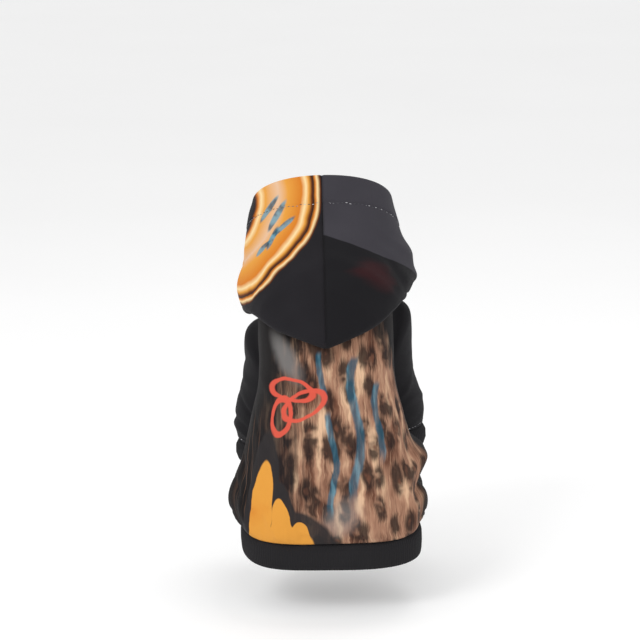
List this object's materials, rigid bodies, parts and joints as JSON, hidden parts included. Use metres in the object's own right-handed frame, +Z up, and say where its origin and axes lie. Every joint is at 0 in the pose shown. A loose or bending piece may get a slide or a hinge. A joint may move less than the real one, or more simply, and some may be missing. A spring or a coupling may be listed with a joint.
{
  "type": "dog hoodie",
  "caption": "Pet's pullover hoodie in its worn, sitting form: the hood lies open down the back, with foreleg sleeves, ribbed cuffs and a ribbed waistband.",
  "frame": {"origin": "Middle of the back of the neckline, on the outer face, where the hoodie hangs on the wearer's withers", "axes": "+Z up with the wearer sitting. +Y the way the wearer faces, so the back of the hoodie faces -Y. +X to the wearer's right."},
  "size_m": [0.2201, 0.2485, 0.4084],
  "materials": {
    "printed_cloth": "smooth polyester sweatshirt knit with a printed pattern",
    "hood_cloth": "the same knit, charcoal with a printed pattern",
    "sleeve_cloth": "the same knit, near black",
    "rib": "fine black rib knit, doubled"
  },
  "bodies": {
    "root": {"back_panel": "printed_cloth", "belly_panel": "printed_cloth", "hood_left": "hood_cloth", "hood_right": "hood_cloth", "waistband": "rib", "sleeve_left": "sleeve_cloth", "sleeve_right": "sleeve_cloth", "cuff_left": "rib", "cuff_right": "rib"}
  },
  "joints": []
}
